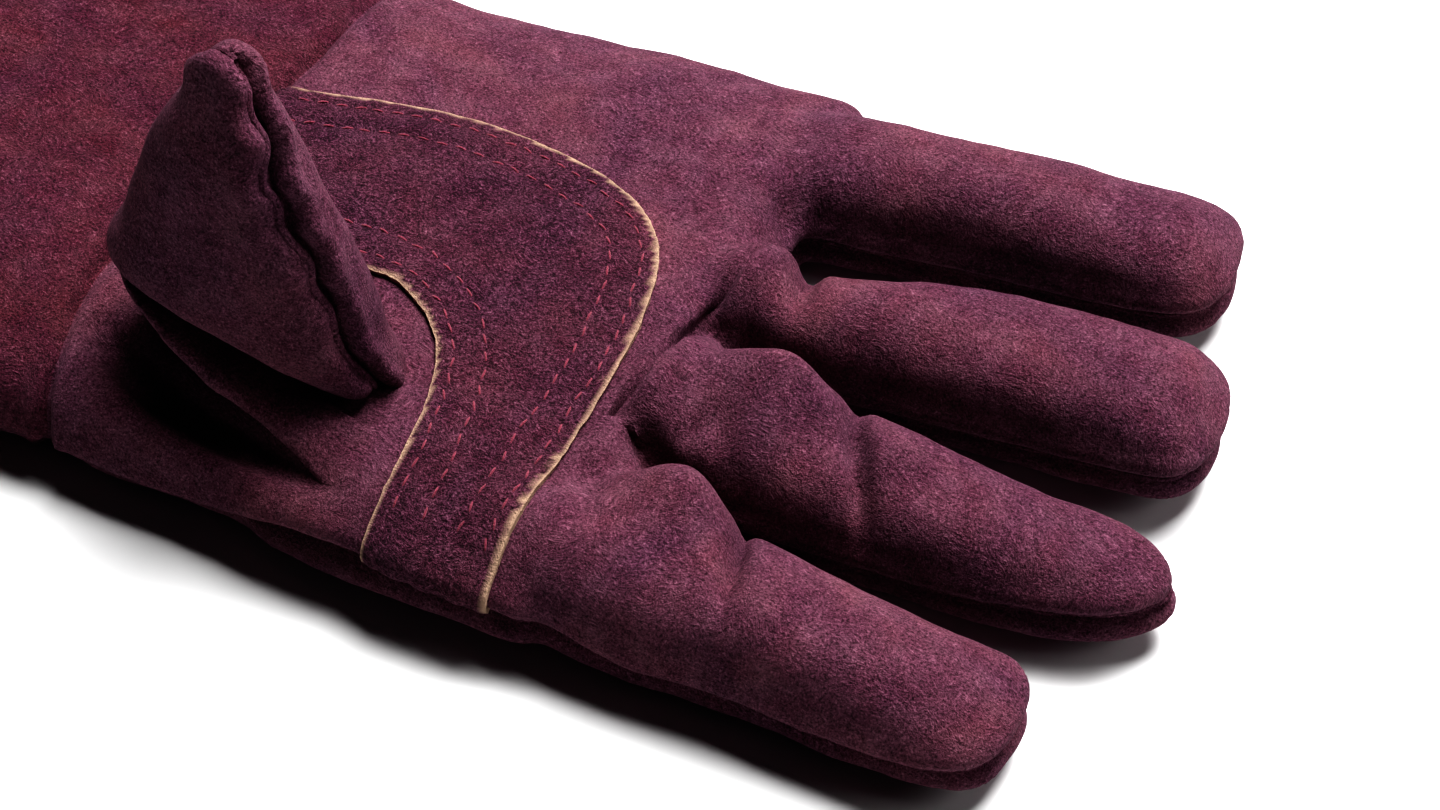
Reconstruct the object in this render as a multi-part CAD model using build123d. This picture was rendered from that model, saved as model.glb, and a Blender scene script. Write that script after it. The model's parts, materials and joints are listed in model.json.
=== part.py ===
"""A leather welding glove for the right hand, lying palm up with its thumb standing.

Millimetres. +X runs from the cuff to the fingertips, +Z is up out of the palm, and the thumb side
is towards -Y. Pieces are made with the wrist seam at X 0 and are written with the origin on the
resting surface, under the middle of the glove.

The glove is a hollow leather shell with a cloth lining. A front and a back half meet at a side seam
with a welt strip between them. Fingers, thumb and cuff are tubes of their own, and each turns on a
hinge line with a wedge of room on the side that it folds towards.
"""
from build123d import *
import copy
import math
import os

os.makedirs("parts", exist_ok=True)

# ---- hides and cloth -------------------------------------------------------------------------
leather = 1.4               # thickness of the split hide
patch_leather = 1.6         # thickness of the palm reinforcement
lining_cloth = 2.0          # fleece and cotton lining
ply_gap = 0.2               # between one layer and the next
welt_thickness = 1.6        # strip sewn into each side seam
corner_share = 0.8          # corner radius of a tube, as a share of half its smaller side
smallest_half = 1.6         # least half size of an inner layer at a fingertip

# ---- hand ------------------------------------------------------------------------------------
palm_length = 112.0         # wrist seam to the seam at the base of the two middle fingers
palm_height = 27.0
seam_height = 10.0          # side seam above the resting surface
back_flat = 0.6             # depth pressed flat where the back of the glove rests
wrist_edges = (-73.0, 66.0)
palm_edges = (-76.0, 73.0)
knuckle_edges = (-77.0, 75.0)
knuckle_x = palm_length + 14.0
stub_root = 24.0            # how far a finger's opening reaches back into the palm

# ---- fingers: base middle, tip middle, tip, and half widths at base, middle and tip ------------
finger_height = 25.0
finger_axis_height = 14.0   # hinge line above the resting surface
fingertip_length = 16.0     # a finger tapers over this much of its end
fingertip_cap = 6.0         # and closes over this much
FINGERS = {
    "index": dict(base=-58.0, tip=-62.0, reach=201.0, halves=(17.5, 15.5, 13.0)),
    "middle": dict(base=-21.5, tip=-23.0, reach=217.0, halves=(16.0, 15.0, 12.5)),
    "ring": dict(base=13.5, tip=19.5, reach=210.0, halves=(16.0, 15.5, 13.5)),
    "little": dict(base=51.0, tip=59.5, reach=198.0, halves=(18.5, 17.0, 15.5)),
}
curl_range = 70.0           # towards the palm
reach_back_range = 10.0     # away from it

# ---- thumb -----------------------------------------------------------------------------------
thumb_base = (41.0, -45.0, 29.0)
thumb_length = 73.0
thumb_thickness = 27.0
thumb_halves = (28.5, 24.0, 16.5, 10.5)
thumb_tip_shift = 4.0       # its tip lies this much nearer the cuff than its base
thumb_opening = (48.0, 20.0)
thumb_out_range = 45.0
thumb_in_range = 20.0
thumb_clearance = 3.0       # from the thumb to the edge of the palm patch

# ---- cuff ------------------------------------------------------------------------------------
cuff_length = 133.0
cuff_mouth_edges = (-91.0, 86.0)
cuff_mouth_height = 36.0
wrist_bend_range = 30.0
wrist_axis_height = 13.5
hem_width = 14.0            # leather turned in at the mouth
hem_stitch_inset = 10.0     # the stitch line, from the mouth
hem_side_margin = 24.0      # the hem's stitches stop this far from the cuff's sides

# ---- palm patch and thread ---------------------------------------------------------------------
patch_end = 103.5           # straight edge of the patch, from the wrist seam
patch_start = 4.0
patch_far_edge = 24.0
patch_slant = 7.0           # its far edge is this much nearer the thumb at the wrist
patch_corner = 34.0         # radius of its rounded corner
strap_start = 77.0          # near edge of the strap that passes the thumb
stitch_length = 3.0
stitch_pitch = 4.4
stitch_thickness = 0.8
stitch_insets = (3.5, 10.5)
stitch_end_margin = 14.0    # rows stop this far from the side of the palm
bartack_pitch = 1.1
bartack_offset = (31.0, 3.0)    # from the middle of the thumb's base

hinge_gap = 0.4
BIG = 400.0


def tube(stations, inset=0.0, flat=0.0):
    """A lofted tube along +X. A station is (x, middle y, half width, low z, high z)."""
    sections = []
    for x, y, half, low, high in stations:
        half_w = max(half - inset, smallest_half)
        half_h = max((high - low) / 2 - inset, smallest_half)
        depth = flat if inset == 0 else 0.0
        plane = Plane(origin=(x, y, (low + high) / 2 - depth / 2), x_dir=(0, 1, 0), z_dir=(1, 0, 0))
        corner = corner_share * min(half_w, half_h)
        sections.append(plane * RectangleRounded(2 * half_w, 2 * half_h + depth, corner))
    body = loft(sections, ruled=True)
    return body - floor_block() if flat and inset == 0 else body


def floor_block():
    """Everything below the resting surface."""
    return Pos(0, 0, -BIG / 2) * Box(2 * BIG, 2 * BIG, BIG)


def closed_end(stations, inset):
    """The stations of a tube with its far end drawn in by inset."""
    first, last = stations[0][0], stations[-1][0]
    share = (last - inset - first) / (last - first)
    return [(first + (s[0] - first) * share, *s[1:]) for s in stations]


def layers(stations, end_closed, flat=0.0):
    """(outer skin, hollow inside it, lining, hollow inside that) of one tube."""
    inner = [0.0, leather, leather + ply_gap, leather + ply_gap + lining_cloth]
    solids = []
    for inset in inner:
        line = closed_end(stations, inset) if end_closed else stations
        solids.append(tube(line, inset, flat))
    return solids


def slab(low, high):
    """All that lies between two heights."""
    return Pos(0, 0, (low + high) / 2) * Box(2 * BIG, 2 * BIG, high - low)


def above_seam(middle):
    return slab(middle + welt_thickness / 2 + ply_gap / 2, middle + BIG)


def below_seam(middle):
    return slab(middle - BIG, middle - welt_thickness / 2 - ply_gap / 2)


def at_seam(middle):
    return slab(middle - welt_thickness / 2, middle + welt_thickness / 2)


def wedge(up_degrees, down_degrees, axis_height, half_width, beyond):
    """Room for a hinge: what lies past a V with its point on the axis. beyond is +1 to take away
    the +X side and -1 to take away the -X side."""
    tall = 90.0
    up = tall * math.tan(math.radians(up_degrees))
    down = tall * math.tan(math.radians(down_degrees))
    near = hinge_gap / 2
    corners = [
        (-near, axis_height),
        (-near - up, axis_height + tall),
        (BIG, axis_height + tall),
        (BIG, axis_height - tall),
        (-near - down, axis_height - tall),
    ]
    outline = Polyline([(beyond * x, 0, z) for x, z in corners], close=True)
    face = make_face(outline.edges())
    return extrude(face, amount=half_width, dir=(0, 1, 0), both=True)


SUBPARTS = {}


def save(name, shape):
    """Keeps one sub-part, as its separate solids."""
    SUBPARTS[name] = Compound(children=list(shape.solids()))


def write_all():
    """Writes every sub-part, with the origin under the middle of the whole glove."""
    box = Compound(children=[copy.copy(s) for s in SUBPARTS.values()]).bounding_box()
    home = Pos(-(box.min.X + box.max.X) / 2, -(box.min.Y + box.max.Y) / 2, 0)
    for name, shape in SUBPARTS.items():
        solids = (home * shape).solids()
        whole = Compound(children=list(solids)) if len(solids) > 1 else solids[0]
        export_step(whole, f"parts/{name}.step")
    print("moved by", home.position)


# ---- fingers -------------------------------------------------------------------------------------
def finger_stations(f):
    """Stations of a finger from its hinge, along its own axis."""
    base_half, middle_half, tip_half = f["halves"]
    length = math.hypot(f["reach"] - knuckle_x, f["tip"] - f["base"])
    low, high = 0.0, finger_height
    return [
        (0.0, 0.0, base_half, low, high),
        (length * 0.45, 0.0, middle_half, low, high),
        (length - fingertip_length, 0.0, tip_half, low, high - 2.0),
        (length - fingertip_cap, 0.0, tip_half * 0.84, low + 1.5, high - 5.0),
        (length, 0.0, tip_half * 0.45, low + 6.0, high - 10.0),
    ]


def finger_place(f):
    splay = math.degrees(math.atan2(f["tip"] - f["base"], f["reach"] - knuckle_x))
    return Pos(knuckle_x, f["base"], 0) * Rot(0, 0, splay)


def stub_stations(f):
    """The hand's own short tube for a finger, from inside the palm to just past the hinge line."""
    return [(x, 0.0, f["halves"][0], 0.0, finger_height) for x in (-stub_root, 2 * hinge_gap)]


def finger_wedge(f, beyond):
    return wedge(curl_range / 2, reach_back_range / 2, finger_axis_height, f["halves"][0] + 1.0, beyond)


def make_finger(name, f):
    """Front, back, welt and lining of one finger."""
    skin, hollow, cloth, cavity = layers(finger_stations(f), True)
    place, room = finger_place(f), finger_wedge(f, -1)
    shell = skin - hollow - room
    save(f"{name}_front", place * (shell & above_seam(seam_height)))
    save(f"{name}_back", place * (shell & below_seam(seam_height)))
    save(f"{name}_welt", place * (shell & at_seam(seam_height)))
    save(f"{name}_lining", place * (cloth - cavity - room))


# ---- hand ----------------------------------------------------------------------------------------
def palm_stations():
    rows = [(0.0, wrist_edges), (palm_length * 0.55, palm_edges), (palm_length, knuckle_edges)]
    return [
        (x, (near + far) / 2, (far - near) / 2, 0.0, palm_height) for x, (near, far) in rows
    ]


def hand_layers():
    """The palm's tube joined to a short tube for each finger, one solid for each layer."""
    palm = layers(palm_stations(), True, back_flat)
    for f in FINGERS.values():
        for i, solid in enumerate(layers(stub_stations(f), False)):
            palm[i] = palm[i] + finger_place(f) * solid
    return palm


def hand_rooms():
    """What the hinges at the fingers and the wrist take from the hand."""
    rooms = [finger_place(f) * finger_wedge(f, 1) for f in FINGERS.values()]
    rooms.append(wedge(wrist_bend_range / 2, wrist_bend_range / 2, wrist_axis_height, BIG / 2, -1))
    return rooms


def thumb_hole():
    across, deep = thumb_opening
    x, y, _ = thumb_base
    return extrude(Pos(x, y, palm_height / 2) * RectangleRounded(across, deep, deep * 0.45), amount=BIG)


def patch_outline():
    """The palm reinforcement from above: a rounded far corner, a straight end, and a strap."""
    near = palm_edges[0] - 2 * (ply_gap + patch_leather)
    thumb_far = thumb_base[1] + thumb_thickness / 2 + thumb_clearance
    start = (patch_start, patch_far_edge - patch_slant)
    corner = (patch_end - patch_corner - 12.0, patch_far_edge)
    straight = (patch_end, patch_far_edge - patch_corner)
    strap_bend = (strap_start, thumb_base[1] - thumb_opening[1] / 2 - 5.0)
    with BuildSketch() as sketch:
        with BuildLine():
            Polyline((patch_start, thumb_far), start)
            Spline(start, corner, tangents=((1, 0.25), (1, -0.05)))
            Spline(corner, straight, tangents=((1, -0.05), (0, -1)))
            Polyline(straight, (patch_end, near), (strap_start, near), strap_bend)
            Spline(strap_bend, (strap_start - 9.0, thumb_far - 2.0), (thumb_base[0] + 11.0, thumb_far),
                   (patch_start, thumb_far))
        make_face()
    return sketch.sketch


def make_patch():
    """The reinforcement follows the palm, one gap clear of it."""
    outer = tube(palm_stations(), -(ply_gap + patch_leather))
    inner = tube(palm_stations(), -ply_gap)
    column = extrude(patch_outline(), amount=BIG)
    return (outer - inner) & column & above_seam(seam_height + 1.0)


def stitch(x, y, z, heading):
    """One visible stitch, a small bar with round ends, pressed a little into the leather's surface."""
    bar = extrude(SlotOverall(stitch_length, stitch_thickness), amount=stitch_thickness / 2)
    return Pos(x, y, z) * Rot(0, 0, heading) * bar


def stitch_row(start, end, z):
    """Stitches along a straight line."""
    length = math.dist(start, end)
    heading = math.degrees(math.atan2(end[1] - start[1], end[0] - start[0]))
    count = int(length // stitch_pitch)
    row = []
    for i in range(count):
        t = (i + 0.5) / count
        x, y = (a + (b - a) * t for a, b in zip(start, end))
        row.append(stitch(x, y, z, heading))
    return row


def make_hand():
    skin, hollow, cloth, cavity = hand_layers()
    rooms = hand_rooms()
    lining = cloth - cavity
    shell = skin - hollow
    hole = thumb_hole()
    for room in rooms:
        shell = shell - room
        lining = lining - room
    front = (shell & above_seam(seam_height)) - hole
    near, far = FINGERS["middle"], FINGERS["ring"]
    low = near["base"] - near["halves"][0]
    high = far["base"] + far["halves"][0]
    strip = Pos(palm_length + BIG / 2, (low + high) / 2, 0) * Box(BIG, high - low, 2 * BIG)
    gap_strip = Pos(palm_length + BIG / 2 - ply_gap, (low + high) / 2, 0) * Box(
        BIG, high - low + 2 * ply_gap, 2 * BIG)
    save("two_finger_base", front & strip)
    save("palm_panel", front - gap_strip)
    save("back_panel", shell & below_seam(seam_height))
    save("side_welts", shell & at_seam(seam_height))
    save("hand_lining", lining - hole)
    save("palm_patch", make_patch())

    top = palm_height + ply_gap + patch_leather + ply_gap / 2
    rows = []
    for inset in stitch_insets:
        x = patch_end - inset
        side = palm_edges[0] + stitch_end_margin
        rows += stitch_row((x, patch_far_edge - patch_corner), (x, side), top)
        y = patch_far_edge - 2.0 - inset
        rows += stitch_row((patch_start + 8.0, y - 2.0), (patch_end - patch_corner - 10.0, y), top)
        x = strap_start + inset
        rows += stitch_row((x, thumb_base[1] + 3.0), (x, side), top)
    save("patch_stitching", Compound(children=rows))
    x, y = (base + step for base, step in zip(thumb_base, bartack_offset))
    save("thumb_bartack", Compound(children=[
        stitch(x + i * bartack_pitch, y, palm_height + ply_gap / 2, 90.0) for i in range(3)]))


# ---- thumb ---------------------------------------------------------------------------------------
def thumb_stations():
    thick = thumb_thickness
    a, b, c, d = thumb_halves
    end = thumb_length
    shift = thumb_tip_shift
    return [
        (0.0, 0.0, a, -thick / 2, thick / 2),
        (end * 0.33, 0.0, b, -thick / 2, thick / 2),
        (end * 0.64, shift * 0.6, c, -thick * 0.44, thick * 0.44),
        (end * 0.86, shift, d, -thick * 0.36, thick * 0.36),
        (end, shift, d * 0.5, -thick * 0.2, thick * 0.2),
    ]


def thumb_place():
    """Its own +X goes up, and its own +Z looks out past the near side of the glove."""
    return Plane(origin=thumb_base, x_dir=(0, 0, 1), z_dir=(0, -1, 0))


def make_thumb():
    skin, hollow, cloth, cavity = layers(thumb_stations(), True)
    room = wedge(thumb_out_range, thumb_in_range, 0.0, BIG / 2, -1)
    shell = skin - hollow - room
    place = thumb_place()
    save("thumb_outer", place * (shell & above_seam(0.0)))
    save("thumb_inner", place * (shell & below_seam(0.0)))
    save("thumb_welt", place * (shell & at_seam(0.0)))
    save("thumb_lining", place * (cloth - cavity - room))


# ---- cuff ----------------------------------------------------------------------------------------
def cuff_stations():
    rows = [(-cuff_length, cuff_mouth_edges, cuff_mouth_height), (0.0, wrist_edges, palm_height)]
    return [(x, (near + far) / 2, (far - near) / 2, 0.0, high) for x, (near, far), high in rows]


def make_cuff():
    skin, hollow, cloth, cavity = layers(cuff_stations(), False, back_flat)
    room = wedge(wrist_bend_range / 2, wrist_bend_range / 2, wrist_axis_height, BIG / 2, 1)
    shell = skin - hollow - room
    fold = tube(cuff_stations(), leather + ply_gap) - tube(cuff_stations(), 2 * leather + ply_gap)
    turned = Pos(-cuff_length + hem_width / 2, 0, 0) * Box(hem_width, 2 * BIG, 2 * BIG)
    kept = Pos(-cuff_length + hem_width + ply_gap + BIG / 2, 0, 0) * Box(BIG, 2 * BIG, 2 * BIG)
    save("cuff_front", shell & above_seam(seam_height))
    save("cuff_back", shell & below_seam(seam_height))
    save("cuff_side_welts", shell & at_seam(seam_height))
    save("cuff_hem", fold & turned)
    save("cuff_lining", (cloth - cavity - room) & kept)
    make_hem_stitching()


def cuff_top(x):
    """(near edge, far edge, height) of the cuff at x."""
    share = -x / cuff_length
    near, far = (w + (m - w) * share for m, w in zip(cuff_mouth_edges, wrist_edges))
    return near, far, palm_height + (cuff_mouth_height - palm_height) * share


def make_hem_stitching():
    x = -cuff_length + hem_stitch_inset
    near, far, height = cuff_top(x)
    slope = math.degrees(math.atan2(cuff_mouth_height - palm_height, cuff_length))
    row = stitch_row((0.0, near + hem_side_margin), (0.0, far - hem_side_margin), 0.0)
    place = Pos(x, 0, height + ply_gap) * Rot(0, slope, 0)
    save("hem_stitching", Compound(children=[place * s for s in row]))


for finger, sizes in FINGERS.items():
    make_finger(finger, sizes)
make_hand()
make_thumb()
make_cuff()
write_all()
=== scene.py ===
"""A leather welding glove for the right hand: hides, patch, thread, welts and lining.

Work is done in glove millimetres, counted from the middle of the wrist seam on the resting surface:
+X to the fingertips, +Z up out of the palm, thumb side towards -Y. Pieces are put into metres last.
"""

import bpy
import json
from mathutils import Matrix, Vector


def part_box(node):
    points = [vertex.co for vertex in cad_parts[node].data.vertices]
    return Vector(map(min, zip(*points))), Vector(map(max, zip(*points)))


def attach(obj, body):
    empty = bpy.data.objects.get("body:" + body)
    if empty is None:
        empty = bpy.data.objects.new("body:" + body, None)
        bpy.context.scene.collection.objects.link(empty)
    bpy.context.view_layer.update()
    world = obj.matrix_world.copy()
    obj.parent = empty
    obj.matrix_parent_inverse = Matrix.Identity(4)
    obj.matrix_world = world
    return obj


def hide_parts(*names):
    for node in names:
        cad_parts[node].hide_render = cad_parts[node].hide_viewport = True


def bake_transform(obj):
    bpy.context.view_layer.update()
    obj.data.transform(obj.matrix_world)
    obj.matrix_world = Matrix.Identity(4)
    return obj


bl_info = {
    "name": "Welding glove",
    "version": (1, 0, 0),
    "blender": (4, 5, 0),
    "location": "View3D > Sidebar > Glove",
    "description": "Cuts, sews and finishes the leather of a welding glove around its frame",
    "category": "Object",
}

import json
import math

import bpy
import numpy as np
from mathutils import Matrix, Vector, noise
from mathutils.bvhtree import BVHTree

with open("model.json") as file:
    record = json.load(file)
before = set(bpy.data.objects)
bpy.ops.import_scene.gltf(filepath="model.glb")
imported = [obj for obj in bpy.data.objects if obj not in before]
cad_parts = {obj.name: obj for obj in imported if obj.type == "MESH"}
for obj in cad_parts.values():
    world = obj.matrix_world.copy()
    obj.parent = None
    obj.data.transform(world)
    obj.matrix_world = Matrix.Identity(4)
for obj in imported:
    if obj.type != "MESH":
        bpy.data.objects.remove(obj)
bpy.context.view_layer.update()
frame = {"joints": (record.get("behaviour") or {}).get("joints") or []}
JOINTS = {joint["name"]: joint for joint in frame["joints"]}
WRIST = np.array(JOINTS["wrist_bend"]["pos_m"]) * [1, 1, 0]
FINGER_NAMES = ("index", "middle", "ring", "little")


def glove_mm(point):
    """A point of the frame in glove millimetres."""
    return (np.array(point, float) - WRIST) * 1000


def metres(point):
    """A point in glove millimetres, in the frame's metres."""
    return np.array(point, float) / 1000 + WRIST


def box_mm(solid):
    """The lowest and highest corners of a plain solid."""
    low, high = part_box(solid)
    return glove_mm(low), glove_mm(high)


KNUCKLE_X = glove_mm(JOINTS["index_curl"]["pos_m"])[0]
FINGER_START = KNUCKLE_X - 14      # where the fingers' own hides begin
BEND_START, BEND_END = KNUCKLE_X - 6, KNUCKLE_X + 26
CUFF_END = box_mm("cuff_front")[0][0]
PATCH_LOW, PATCH_HIGH = box_mm("palm_patch")
THUMB_FOOT = glove_mm(JOINTS["thumb_swing"]["pos_m"])
THUMB_TOP = box_mm("thumb_outer")[1][2]


# ---- numbers that a user would change --------------------------------------------------------------
def size_mm(name, default, description):
    """A length in millimetres."""
    return bpy.props.FloatProperty(name=name, default=default, min=0.05, max=60, description=description)


def tone(name, colour, description):
    """A base colour."""
    return bpy.props.FloatVectorProperty(name=name, subtype="COLOR", size=3, default=colour, min=0, max=1,
                                         description=description)


class GloveSizes(bpy.types.PropertyGroup):
    """Sizes of the hides and the sewing, in millimetres."""
    cell: size_mm("Cell", 1.25, "Edge of the mesh's cells")
    leather: size_mm("Leather", 1.4, "Thickness of the hide")
    patch: size_mm("Patch", 1.7, "Thickness of the palm patch")
    seam_height: size_mm("Seam height", 9.5, "Height of the side seam over the resting surface")
    seam_depth: size_mm("Seam depth", 3.2, "How far the side seam is drawn in")
    seam_width: size_mm("Seam width", 2.1, "Half width of the groove along the side seam")
    stitch: size_mm("Stitch", 2.9, "Length of one visible stitch")
    stitch_pitch: size_mm("Stitch pitch", 4.1, "From one stitch to the next")
    thread: size_mm("Thread", 0.55, "Thickness of the thread")


class GloveColours(bpy.types.PropertyGroup):
    """Base colours of the hides, the thread and the lining."""
    palm: tone("Palm", (0.112, 0.043, 0.066), "Hide of the palm, fingers and thumb")
    cuff: tone("Cuff", (0.092, 0.025, 0.041), "Coarser hide of the cuff")
    patch: tone("Patch", (0.100, 0.033, 0.055), "Rough hide of the palm patch")
    raw_edge: tone("Raw edge", (0.52, 0.37, 0.27), "Cut edge of the patch")
    thread: tone("Thread", (0.26, 0.055, 0.090), "Sewing thread")
    lining: tone("Lining", (0.66, 0.58, 0.45), "Fleece inside")


# ---- outlines --------------------------------------------------------------------------------------
def smooth_line(points, step=1.0):
    """A curve through the points, at about one point each step."""
    p = np.array(points, float)
    p = np.vstack([2 * p[0] - p[1], p, 2 * p[-1] - p[-2]])
    out = []
    for a, b, c, d in zip(p, p[1:], p[2:], p[3:]):
        n = max(2, int(np.linalg.norm(c - b) / step))
        t = np.linspace(0, 1, n, endpoint=False)[:, None]
        out.append(0.5 * (2 * b + (c - a) * t + (2 * a - 5 * b + 4 * c - d) * t**2
                          + (3 * b - a - 3 * c + d) * t**3))
    return np.vstack(out + [p[-2:-1]])


def ease(low, high, value):
    """0 below low, 1 above high, smooth between them."""
    t = np.clip((value - low) / (high - low), 0, 1)
    return t * t * (3 - 2 * t)


def bell(value, width):
    """1 where value is 0, falling smoothly to nothing beyond width on both sides."""
    return np.exp(-((value / width) ** 2))


def between(stations, at):
    """Smooth values at places along a list of stations, each (place, value, ...)."""
    rows = smooth_line(stations, 0.25)
    return np.array([np.interp(at, rows[:, 0], rows[:, i]) for i in range(1, rows.shape[1])])


def line_distance(xy, line):
    """Distance of each point to a polyline, and the place along it, from 0 to 1."""
    best, where = np.full(len(xy), 1e9), np.zeros(len(xy))
    for i, (a, b) in enumerate(zip(line, line[1:])):
        ab = b - a
        t = np.clip(((xy - a) @ ab) / max(ab @ ab, 1e-9), 0, 1)
        d = np.linalg.norm(xy - a - t[:, None] * ab, axis=1)
        near = d < best
        best[near], where[near] = d[near], (i + t[near]) / (len(line) - 1)
    return best, where


def inside(xy, loop):
    """Which points lie inside a closed outline."""
    found = np.zeros(len(xy), bool)
    for a, b in zip(loop, np.roll(loop, -1, axis=0)):
        if a[1] == b[1]:
            continue
        crosses = (a[1] > xy[:, 1]) != (b[1] > xy[:, 1])
        x = a[0] + (xy[:, 1] - a[1]) / (b[1] - a[1]) * (b[0] - a[0])
        found ^= crosses & (xy[:, 0] < x)
    return found


# ---- meshes as arrays ------------------------------------------------------------------------------
def mesh_object(name, verts, faces):
    """A mesh object from glove millimetres."""
    mesh = bpy.data.meshes.new(name)
    mesh.from_pydata([tuple(v) for v in metres(verts)], [], [tuple(int(i) for i in f) for f in faces])
    mesh.validate()
    obj = bpy.data.objects.new(name, mesh)
    bpy.context.scene.collection.objects.link(obj)
    return obj


def arrays(obj):
    """Vertices in glove millimetres and triangles of an object."""
    mesh = obj.data
    mesh.calc_loop_triangles()
    co = np.empty(len(mesh.vertices) * 3)
    mesh.vertices.foreach_get("co", co)
    tri = np.empty(len(mesh.loop_triangles) * 3, np.int64)
    mesh.loop_triangles.foreach_get("vertices", tri)
    return glove_mm(co.reshape(-1, 3)), tri.reshape(-1, 3)


def normals(verts, tris):
    """The direction that the surface faces at each vertex."""
    a, b, c = (verts[tris[:, i]] for i in range(3))
    face = np.cross(b - a, c - a)
    total = np.zeros_like(verts)
    for i in range(3):
        np.add.at(total, tris[:, i], face)
    return total / np.maximum(np.linalg.norm(total, axis=1), 1e-12)[:, None]


def only(obj):
    """Makes obj the one selected and active object."""
    bpy.ops.object.select_all(action="DESELECT")
    obj.select_set(True)
    bpy.context.view_layer.objects.active = obj


def finish_with(obj, kind, **values):
    """Adds a modifier with these values and applies it."""
    only(obj)
    modifier = obj.modifiers.new(kind.title(), kind)
    for key, value in values.items():
        setattr(modifier, key, value)
    bpy.ops.object.modifier_apply(modifier=modifier.name)


def tube_faces(first, rings, count, ends=True):
    """Faces of a tube whose vertices start at first: rings of count vertices, with ends closed or open."""
    faces = []
    for a in range(first, first + (rings - 1) * count, count):
        b = a + count
        faces += [(a + i, a + (i + 1) % count, b + (i + 1) % count, b + i) for i in range(count)]
    if ends:
        last = first + (rings - 1) * count
        faces += [tuple(range(first, first + count))[::-1], tuple(range(last, last + count))]
    return faces


def tube(name, rings, ends=True):
    """A tube through rings of points, each ring an (n, 3) array, with its ends closed or open."""
    return mesh_object(name, np.vstack(rings), tube_faces(0, len(rings), len(rings[0]), ends))


def melt(obj, cell, passes):
    """Remeshes and smooths an object, removes it, and gives its surface: (vertices, triangles)."""
    finish_with(obj, "REMESH", mode="VOXEL", voxel_size=cell / 1000, adaptivity=0)
    finish_with(obj, "SMOOTH", factor=0.5, iterations=passes)
    surface = arrays(obj)
    bpy.data.objects.remove(obj)
    return surface


def clip(verts, tris, keep):
    """The part of a mesh where keep is positive, cut exactly where it is zero."""
    d = np.where(np.abs(keep) < 0.12, 0.0, keep)
    made, extra, faces = {}, [], []
    positive = d[tris] > 0
    negative = d[tris] < 0
    whole = tris[~negative.any(axis=1) & positive.any(axis=1)]

    def crossing(i, j):
        key = (min(i, j), max(i, j))
        if key not in made:
            made[key] = len(verts) + len(extra)
            extra.append(verts[i] + (verts[j] - verts[i]) * (d[i] / (d[i] - d[j])))
        return made[key]

    for tri in tris[negative.any(axis=1) & positive.any(axis=1)]:
        loop = []
        for i, j in zip(tri, np.roll(tri, -1)):
            if d[i] >= 0:
                loop.append(int(i))
            if d[i] * d[j] < 0:
                loop.append(crossing(int(i), int(j)))
        for k in range(1, len(loop) - 1):
            faces.append((loop[0], loop[k], loop[k + 1]))
    verts2 = np.vstack([verts] + ([np.array(extra)] if extra else []))
    tris2 = np.vstack([whole] + ([np.array(faces)] if faces else [])).astype(np.int64)
    used = np.unique(tris2)
    index = np.full(len(verts2), -1)
    index[used] = np.arange(len(used))
    return verts2[used], index[tris2]


def chains(edges):
    """Edges as ordered runs of vertices, without the shortest runs."""
    links = {}
    for a, b in set(tuple(sorted(e)) for e in edges):
        links.setdefault(a, []).append(b)
        links.setdefault(b, []).append(a)
    seen, runs = set(), []
    starts = sorted((v for v in links if len(links[v]) == 1)) + sorted(links)
    for start in starts:
        if start in seen:
            continue
        run, at = [start], start
        seen.add(start)
        while True:
            ahead = [v for v in links[at] if v not in seen]
            if not ahead:
                break
            at = ahead[0]
            seen.add(at)
            run.append(at)
        if len(run) > 10:
            runs.append(run)
    return runs


# ---- the hand's shape ------------------------------------------------------------------------------
def section(middle, half, top, seam, low, full_top=2.5, full_low=2.8, count=72, under=1.0):
    """Across and up of a tube's section: a dome over the seam and a flatter one under it."""
    angle = np.linspace(0, 2 * math.pi, count, endpoint=False)
    c, s = np.cos(angle), np.sin(angle)
    power = np.where(s >= 0, 2 / full_top, 2 / full_low)
    across = middle + half * np.where(s >= 0, 1.0, under) * np.sign(c) * np.abs(c) ** power
    up = seam + np.where(s >= 0, top - seam, seam - low) * np.sign(s) * np.abs(s) ** power
    return across, up


# A finger: place of its middle off its hinge line, half width, top, and lowest point along its length.
# Each row is (share of the length from the hinge, side step, half width, top, low).
FINGER_SHAPES = {
    "index": [(-0.40, 0.0, 17.0, 25.0, 0.3), (0.0, 0.0, 17.0, 26.0, 0.0), (0.25, 0.0, 15.4, 26.0, 0.0),
              (0.55, -0.5, 14.4, 24.5, 0.6), (0.80, 0.0, 14.2, 22.5, 2.0), (1.0, 1.8, 12.8, 18.0, 3.2)],
    "middle": [(-0.35, 0.0, 15.5, 25.5, 0.3), (0.0, 0.0, 15.8, 27.0, 0.0), (0.3, 0.0, 15.0, 26.5, 0.0),
               (0.6, 0.3, 13.6, 24.5, 1.2), (0.82, 1.5, 11.2, 20.5, 3.2), (1.0, 3.5, 7.4, 15.5, 4.4)],
    "ring": [(-0.35, 0.0, 15.0, 25.5, 0.3), (-0.02, -2.6, 12.0, 26.0, 0.0), (0.14, -2.6, 12.0, 26.0, 0.0),
             (0.35, 0.5, 15.0, 27.0, 0.0), (0.6, 1.2, 16.2, 27.0, 0.8), (0.85, 1.0, 16.0, 25.0, 2.6),
             (1.0, 0.5, 14.5, 20.0, 3.6)],
    "little": [(-0.40, 1.0, 18.0, 25.0, 0.3), (0.0, 3.4, 15.1, 26.0, 0.0), (0.3, 3.4, 14.6, 26.5, 0.0),
               (0.6, 2.6, 15.6, 26.0, 0.5), (0.85, 2.6, 15.0, 24.5, 1.8), (1.0, 3.4, 13.0, 20.0, 2.6)],
}
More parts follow.
